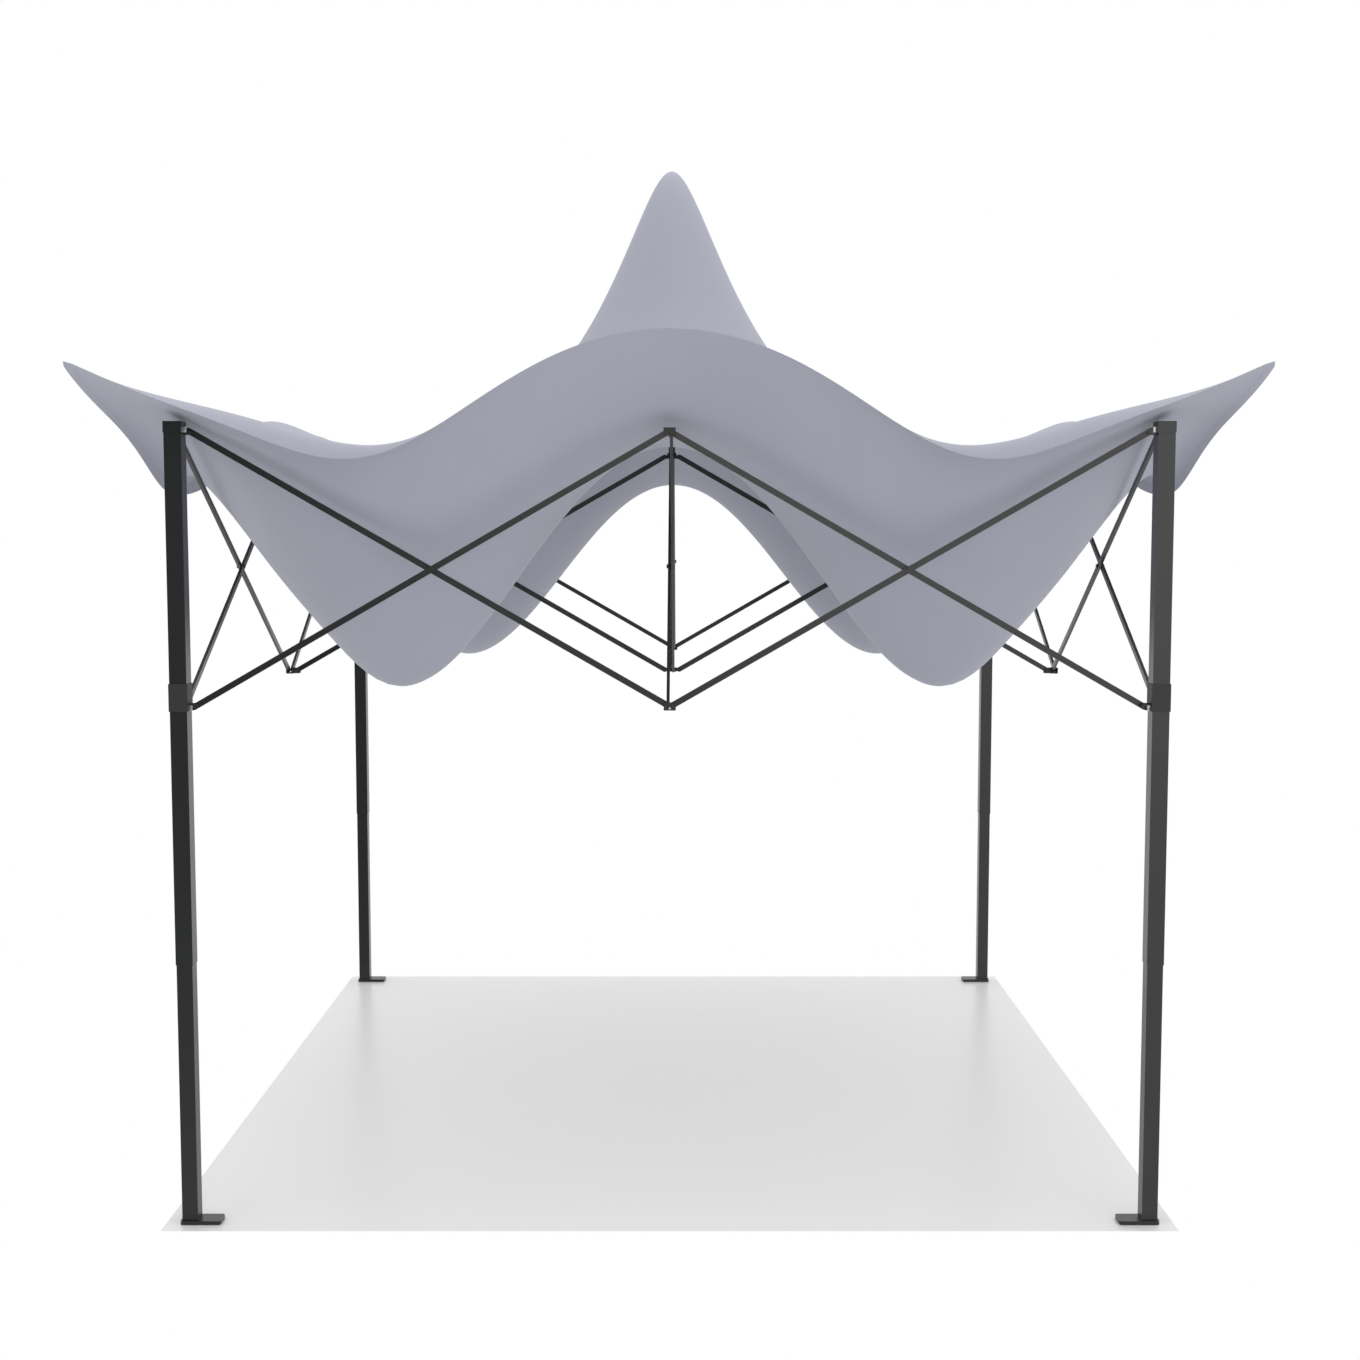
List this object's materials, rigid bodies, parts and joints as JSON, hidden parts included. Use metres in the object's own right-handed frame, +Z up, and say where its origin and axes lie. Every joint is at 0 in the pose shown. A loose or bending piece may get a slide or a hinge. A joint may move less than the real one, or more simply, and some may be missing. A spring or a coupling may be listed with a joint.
{
  "type": "pop-up party tent",
  "caption": "Folding scissor-frame party tent on telescoping square legs, with one draped blue-grey canopy that rises to a central peak and flares at its corners.",
  "frame": {"origin": "on the ground, at the middle of the four feet", "axes": "+Z up, front towards -Y, +X to the right seen from the front"},
  "size_m": [3.3742, 3.3742, 3.4297],
  "materials": {
    "canopy_fabric": "matt coated polyester cloth",
    "frame_metal": "charcoal powder coat",
    "hub_plastic": "black moulded nylon"
  },
  "bodies": {
    "frame_top": {"centre_top_hub": "hub_plastic", "centre_mast": "frame_metal", "canopy": "canopy_fabric"},
    "right_inner_bar_a": {"right_inner_bar_a": "frame_metal"},
    "right_inner_bar_b": {"right_inner_bar_b": "frame_metal"},
    "centre_bottom_hub": {"centre_bottom_hub": "hub_plastic"},
    "right_bottom_hub": {"right_bottom_hub": "hub_plastic"},
    "right_top_hub": {"right_top_hub": "hub_plastic"},
    "back_inner_bar_a": {"back_inner_bar_a": "frame_metal"},
    "back_inner_bar_b": {"back_inner_bar_b": "frame_metal"},
    "back_bottom_hub": {"back_bottom_hub": "hub_plastic"},
    "back_top_hub": {"back_top_hub": "hub_plastic"},
    "left_inner_bar_a": {"left_inner_bar_a": "frame_metal"},
    "left_inner_bar_b": {"left_inner_bar_b": "frame_metal"},
    "left_bottom_hub": {"left_bottom_hub": "hub_plastic"},
    "left_top_hub": {"left_top_hub": "hub_plastic"},
    "front_inner_bar_a": {"front_inner_bar_a": "frame_metal"},
    "front_inner_bar_b": {"front_inner_bar_b": "frame_metal"},
    "front_bottom_hub": {"front_bottom_hub": "hub_plastic"},
    "front_top_hub": {"front_top_hub": "hub_plastic"},
    "right_back_bar_a": {"right_back_bar_a": "frame_metal"},
    "right_back_bar_b": {"right_back_bar_b": "frame_metal"},
    "right_front_bar_a": {"right_front_bar_a": "frame_metal"},
    "right_front_bar_b": {"right_front_bar_b": "frame_metal"},
    "back_left_bar_a": {"back_left_bar_a": "frame_metal"},
    "back_left_bar_b": {"back_left_bar_b": "frame_metal"},
    "back_left_upper_leg": {"back_left_upper_leg": "frame_metal"},
    "back_left_slider": {"back_left_slider": "hub_plastic"},
    "back_left_lower_leg": {"back_left_lower_leg": "frame_metal"},
    "back_right_bar_a": {"back_right_bar_a": "frame_metal"},
    "back_right_bar_b": {"back_right_bar_b": "frame_metal"},
    "back_right_upper_leg": {"back_right_upper_leg": "frame_metal"},
    "back_right_slider": {"back_right_slider": "hub_plastic"},
    "back_right_lower_leg": {"back_right_lower_leg": "frame_metal"},
    "left_front_bar_a": {"left_front_bar_a": "frame_metal"},
    "left_front_bar_b": {"left_front_bar_b": "frame_metal"},
    "left_back_bar_a": {"left_back_bar_a": "frame_metal"},
    "left_back_bar_b": {"left_back_bar_b": "frame_metal"},
    "front_right_bar_a": {"front_right_bar_a": "frame_metal"},
    "front_right_bar_b": {"front_right_bar_b": "frame_metal"},
    "front_right_upper_leg": {"front_right_upper_leg": "frame_metal"},
    "front_right_slider": {"front_right_slider": "hub_plastic"},
    "front_right_lower_leg": {"front_right_lower_leg": "frame_metal"},
    "front_left_bar_a": {"front_left_bar_a": "frame_metal"},
    "front_left_bar_b": {"front_left_bar_b": "frame_metal"},
    "front_left_upper_leg": {"front_left_upper_leg": "frame_metal"},
    "front_left_slider": {"front_left_slider": "hub_plastic"},
    "front_left_lower_leg": {"front_left_lower_leg": "frame_metal"}
  },
  "joints": [
    {"name": "frame_fold", "type": "hinge", "parent": "frame_top", "child": "right_inner_bar_a", "pos_m": [0.0275, -0.00515, 2.376], "axis": [0, 1, 0], "range_deg": [0, 55], "deforming": ["canopy"]},
    {"name": "right_inner_bar_b_crossing", "type": "hinge", "parent": "right_inner_bar_a", "child": "right_inner_bar_b", "pos_m": [0.72375, 0, 1.975], "axis": [0, -1, 0], "range_deg": [0, 110]},
    {"name": "centre_bottom_hub_pivot", "type": "hinge", "parent": "right_inner_bar_b", "child": "centre_bottom_hub", "pos_m": [0.0275, 0.00515, 1.574], "axis": [0, 1, 0], "range_deg": [0, 55]},
    {"name": "right_bottom_hub_pivot", "type": "hinge", "parent": "right_inner_bar_a", "child": "right_bottom_hub", "pos_m": [1.42, -0.00515, 1.574], "axis": [0, -1, 0], "range_deg": [0, 55]},
    {"name": "right_top_hub_pivot", "type": "hinge", "parent": "right_inner_bar_b", "child": "right_top_hub", "pos_m": [1.42, 0.00515, 2.376], "axis": [0, 1, 0], "range_deg": [0, 55]},
    {"name": "back_inner_bar_a_pivot", "type": "hinge", "parent": "frame_top", "child": "back_inner_bar_a", "pos_m": [0.00515, 0.0275, 2.376], "axis": [-1, 0, 0], "range_deg": [0, 55]},
    {"name": "back_inner_bar_b_crossing", "type": "hinge", "parent": "back_inner_bar_a", "child": "back_inner_bar_b", "pos_m": [0, 0.72375, 1.975], "axis": [1, 0, 0], "range_deg": [0, 110]},
    {"name": "back_bottom_hub_pivot", "type": "hinge", "parent": "back_inner_bar_a", "child": "back_bottom_hub", "pos_m": [0.00515, 1.42, 1.574], "axis": [1, 0, 0], "range_deg": [0, 55]},
    {"name": "back_top_hub_pivot", "type": "hinge", "parent": "back_inner_bar_b", "child": "back_top_hub", "pos_m": [-0.00515, 1.42, 2.376], "axis": [-1, 0, 0], "range_deg": [0, 55]},
    {"name": "left_inner_bar_a_pivot", "type": "hinge", "parent": "frame_top", "child": "left_inner_bar_a", "pos_m": [-0.0275, 0.00515, 2.376], "axis": [0, -1, 0], "range_deg": [0, 55]},
    {"name": "left_inner_bar_b_crossing", "type": "hinge", "parent": "left_inner_bar_a", "child": "left_inner_bar_b", "pos_m": [-0.72375, 0, 1.975], "axis": [0, 1, 0], "range_deg": [0, 110]},
    {"name": "left_bottom_hub_pivot", "type": "hinge", "parent": "left_inner_bar_a", "child": "left_bottom_hub", "pos_m": [-1.42, 0.00515, 1.574], "axis": [0, 1, 0], "range_deg": [0, 55]},
    {"name": "left_top_hub_pivot", "type": "hinge", "parent": "left_inner_bar_b", "child": "left_top_hub", "pos_m": [-1.42, -0.00515, 2.376], "axis": [0, -1, 0], "range_deg": [0, 55]},
    {"name": "front_inner_bar_a_pivot", "type": "hinge", "parent": "frame_top", "child": "front_inner_bar_a", "pos_m": [-0.00515, -0.0275, 2.376], "axis": [1, 0, 0], "range_deg": [0, 55]},
    {"name": "front_inner_bar_b_crossing", "type": "hinge", "parent": "front_inner_bar_a", "child": "front_inner_bar_b", "pos_m": [0, -0.72375, 1.975], "axis": [-1, 0, 0], "range_deg": [0, 110]},
    {"name": "front_bottom_hub_pivot", "type": "hinge", "parent": "front_inner_bar_a", "child": "front_bottom_hub", "pos_m": [-0.00515, -1.42, 1.574], "axis": [-1, 0, 0], "range_deg": [0, 55]},
    {"name": "front_top_hub_pivot", "type": "hinge", "parent": "front_inner_bar_b", "child": "front_top_hub", "pos_m": [0.00515, -1.42, 2.376], "axis": [1, 0, 0], "range_deg": [0, 55]},
    {"name": "right_back_bar_a_pivot", "type": "hinge", "parent": "right_bottom_hub", "child": "right_back_bar_a", "pos_m": [1.45515, 0.0075, 1.574], "axis": [1, 0, 0], "range_deg": [0, 55]},
    {"name": "right_back_bar_b_crossing", "type": "hinge", "parent": "right_back_bar_a", "child": "right_back_bar_b", "pos_m": [1.45, 0.70375, 1.975], "axis": [-1, 0, 0], "range_deg": [0, 110]},
    {"name": "right_front_bar_a_pivot", "type": "hinge", "parent": "right_bottom_hub", "child": "right_front_bar_a", "pos_m": [1.44485, -0.0075, 1.574], "axis": [-1, 0, 0], "range_deg": [0, 55]},
    {"name": "right_front_bar_b_crossing", "type": "hinge", "parent": "right_front_bar_a", "child": "right_front_bar_b", "pos_m": [1.45, -0.70375, 1.975], "axis": [1, 0, 0], "range_deg": [0, 110]},
    {"name": "back_left_bar_a_pivot", "type": "hinge", "parent": "back_bottom_hub", "child": "back_left_bar_a", "pos_m": [-0.0075, 1.45515, 1.574], "axis": [0, 1, 0], "range_deg": [0, 55]},
    {"name": "back_left_bar_b_crossing", "type": "hinge", "parent": "back_left_bar_a", "child": "back_left_bar_b", "pos_m": [-0.70375, 1.45, 1.975], "axis": [0, -1, 0], "range_deg": [0, 110]},
    {"name": "back_left_leg_pivot", "type": "hinge", "parent": "back_left_bar_a", "child": "back_left_upper_leg", "pos_m": [-1.4, 1.45515, 2.376], "axis": [0, -1, 0], "range_deg": [0, 55]},
    {"name": "back_left_slider_pivot", "type": "hinge", "parent": "back_left_bar_b", "child": "back_left_slider", "pos_m": [-1.4, 1.44485, 1.574], "axis": [0, 1, 0], "range_deg": [0, 55]},
    {"name": "back_left_leg_telescope", "type": "slide", "parent": "back_left_upper_leg", "child": "back_left_lower_leg", "axis": [0, 0, 1], "range_m": [0, 0.7]},
    {"name": "back_right_bar_a_pivot", "type": "hinge", "parent": "back_bottom_hub", "child": "back_right_bar_a", "pos_m": [0.0075, 1.44485, 1.574], "axis": [0, -1, 0], "range_deg": [0, 55]},
    {"name": "back_right_bar_b_crossing", "type": "hinge", "parent": "back_right_bar_a", "child": "back_right_bar_b", "pos_m": [0.70375, 1.45, 1.975], "axis": [0, 1, 0], "range_deg": [0, 110]},
    {"name": "back_right_leg_pivot", "type": "hinge", "parent": "back_right_bar_a", "child": "back_right_upper_leg", "pos_m": [1.4, 1.44485, 2.376], "axis": [0, 1, 0], "range_deg": [0, 55]},
    {"name": "back_right_slider_pivot", "type": "hinge", "parent": "back_right_bar_b", "child": "back_right_slider", "pos_m": [1.4, 1.45515, 1.574], "axis": [0, -1, 0], "range_deg": [0, 55]},
    {"name": "back_right_leg_telescope", "type": "slide", "parent": "back_right_upper_leg", "child": "back_right_lower_leg", "axis": [0, 0, 1], "range_m": [0, 0.7]},
    {"name": "left_front_bar_a_pivot", "type": "hinge", "parent": "left_bottom_hub", "child": "left_front_bar_a", "pos_m": [-1.45515, -0.0075, 1.574], "axis": [-1, 0, 0], "range_deg": [0, 55]},
    {"name": "left_front_bar_b_crossing", "type": "hinge", "parent": "left_front_bar_a", "child": "left_front_bar_b", "pos_m": [-1.45, -0.70375, 1.975], "axis": [1, 0, 0], "range_deg": [0, 110]},
    {"name": "left_back_bar_a_pivot", "type": "hinge", "parent": "left_bottom_hub", "child": "left_back_bar_a", "pos_m": [-1.44485, 0.0075, 1.574], "axis": [1, 0, 0], "range_deg": [0, 55]},
    {"name": "left_back_bar_b_crossing", "type": "hinge", "parent": "left_back_bar_a", "child": "left_back_bar_b", "pos_m": [-1.45, 0.70375, 1.975], "axis": [-1, 0, 0], "range_deg": [0, 110]},
    {"name": "front_right_bar_a_pivot", "type": "hinge", "parent": "front_bottom_hub", "child": "front_right_bar_a", "pos_m": [0.0075, -1.45515, 1.574], "axis": [0, -1, 0], "range_deg": [0, 55]},
    {"name": "front_right_bar_b_crossing", "type": "hinge", "parent": "front_right_bar_a", "child": "front_right_bar_b", "pos_m": [0.70375, -1.45, 1.975], "axis": [0, 1, 0], "range_deg": [0, 110]},
    {"name": "front_right_leg_pivot", "type": "hinge", "parent": "front_right_bar_a", "child": "front_right_upper_leg", "pos_m": [1.4, -1.45515, 2.376], "axis": [0, 1, 0], "range_deg": [0, 55]},
    {"name": "front_right_slider_pivot", "type": "hinge", "parent": "front_right_bar_b", "child": "front_right_slider", "pos_m": [1.4, -1.44485, 1.574], "axis": [0, -1, 0], "range_deg": [0, 55]},
    {"name": "front_right_leg_telescope", "type": "slide", "parent": "front_right_upper_leg", "child": "front_right_lower_leg", "axis": [0, 0, 1], "range_m": [0, 0.7]},
    {"name": "front_left_bar_a_pivot", "type": "hinge", "parent": "front_bottom_hub", "child": "front_left_bar_a", "pos_m": [-0.0075, -1.44485, 1.574], "axis": [0, 1, 0], "range_deg": [0, 55]},
    {"name": "front_left_bar_b_crossing", "type": "hinge", "parent": "front_left_bar_a", "child": "front_left_bar_b", "pos_m": [-0.70375, -1.45, 1.975], "axis": [0, -1, 0], "range_deg": [0, 110]},
    {"name": "front_left_leg_pivot", "type": "hinge", "parent": "front_left_bar_a", "child": "front_left_upper_leg", "pos_m": [-1.4, -1.44485, 2.376], "axis": [0, -1, 0], "range_deg": [0, 55]},
    {"name": "front_left_slider_pivot", "type": "hinge", "parent": "front_left_bar_b", "child": "front_left_slider", "pos_m": [-1.4, -1.45515, 1.574], "axis": [0, 1, 0], "range_deg": [0, 55]},
    {"name": "front_left_leg_telescope", "type": "slide", "parent": "front_left_upper_leg", "child": "front_left_lower_leg", "axis": [0, 0, 1], "range_m": [0, 0.7]}
  ],
  "couplings": [
    {"joint": "right_inner_bar_b_crossing", "follows": "frame_fold", "ratio": 2},
    {"joint": "centre_bottom_hub_pivot", "follows": "frame_fold", "ratio": 1},
    {"joint": "right_bottom_hub_pivot", "follows": "frame_fold", "ratio": 1},
    {"joint": "right_top_hub_pivot", "follows": "frame_fold", "ratio": 1},
    {"joint": "back_inner_bar_a_pivot", "follows": "frame_fold", "ratio": 1},
    {"joint": "back_inner_bar_b_crossing", "follows": "frame_fold", "ratio": 2},
    {"joint": "back_bottom_hub_pivot", "follows": "frame_fold", "ratio": 1},
    {"joint": "back_top_hub_pivot", "follows": "frame_fold", "ratio": 1},
    {"joint": "left_inner_bar_a_pivot", "follows": "frame_fold", "ratio": 1},
    {"joint": "left_inner_bar_b_crossing", "follows": "frame_fold", "ratio": 2},
    {"joint": "left_bottom_hub_pivot", "follows": "frame_fold", "ratio": 1},
    {"joint": "left_top_hub_pivot", "follows": "frame_fold", "ratio": 1},
    {"joint": "front_inner_bar_a_pivot", "follows": "frame_fold", "ratio": 1},
    {"joint": "front_inner_bar_b_crossing", "follows": "frame_fold", "ratio": 2},
    {"joint": "front_bottom_hub_pivot", "follows": "frame_fold", "ratio": 1},
    {"joint": "front_top_hub_pivot", "follows": "frame_fold", "ratio": 1},
    {"joint": "right_back_bar_a_pivot", "follows": "frame_fold", "ratio": 1},
    {"joint": "right_back_bar_b_crossing", "follows": "frame_fold", "ratio": 2},
    {"joint": "right_front_bar_a_pivot", "follows": "frame_fold", "ratio": 1},
    {"joint": "right_front_bar_b_crossing", "follows": "frame_fold", "ratio": 2},
    {"joint": "back_left_bar_a_pivot", "follows": "frame_fold", "ratio": 1},
    {"joint": "back_left_bar_b_crossing", "follows": "frame_fold", "ratio": 2},
    {"joint": "back_left_leg_pivot", "follows": "frame_fold", "ratio": 1},
    {"joint": "back_left_slider_pivot", "follows": "frame_fold", "ratio": 1},
    {"joint": "back_right_bar_a_pivot", "follows": "frame_fold", "ratio": 1},
    {"joint": "back_right_bar_b_crossing", "follows": "frame_fold", "ratio": 2},
    {"joint": "back_right_leg_pivot", "follows": "frame_fold", "ratio": 1},
    {"joint": "back_right_slider_pivot", "follows": "frame_fold", "ratio": 1},
    {"joint": "left_front_bar_a_pivot", "follows": "frame_fold", "ratio": 1},
    {"joint": "left_front_bar_b_crossing", "follows": "frame_fold", "ratio": 2},
    {"joint": "left_back_bar_a_pivot", "follows": "frame_fold", "ratio": 1},
    {"joint": "left_back_bar_b_crossing", "follows": "frame_fold", "ratio": 2},
    {"joint": "front_right_bar_a_pivot", "follows": "frame_fold", "ratio": 1},
    {"joint": "front_right_bar_b_crossing", "follows": "frame_fold", "ratio": 2},
    {"joint": "front_right_leg_pivot", "follows": "frame_fold", "ratio": 1},
    {"joint": "front_right_slider_pivot", "follows": "frame_fold", "ratio": 1},
    {"joint": "front_left_bar_a_pivot", "follows": "frame_fold", "ratio": 1},
    {"joint": "front_left_bar_b_crossing", "follows": "frame_fold", "ratio": 2},
    {"joint": "front_left_leg_pivot", "follows": "frame_fold", "ratio": 1},
    {"joint": "front_left_slider_pivot", "follows": "frame_fold", "ratio": 1}
  ]
}
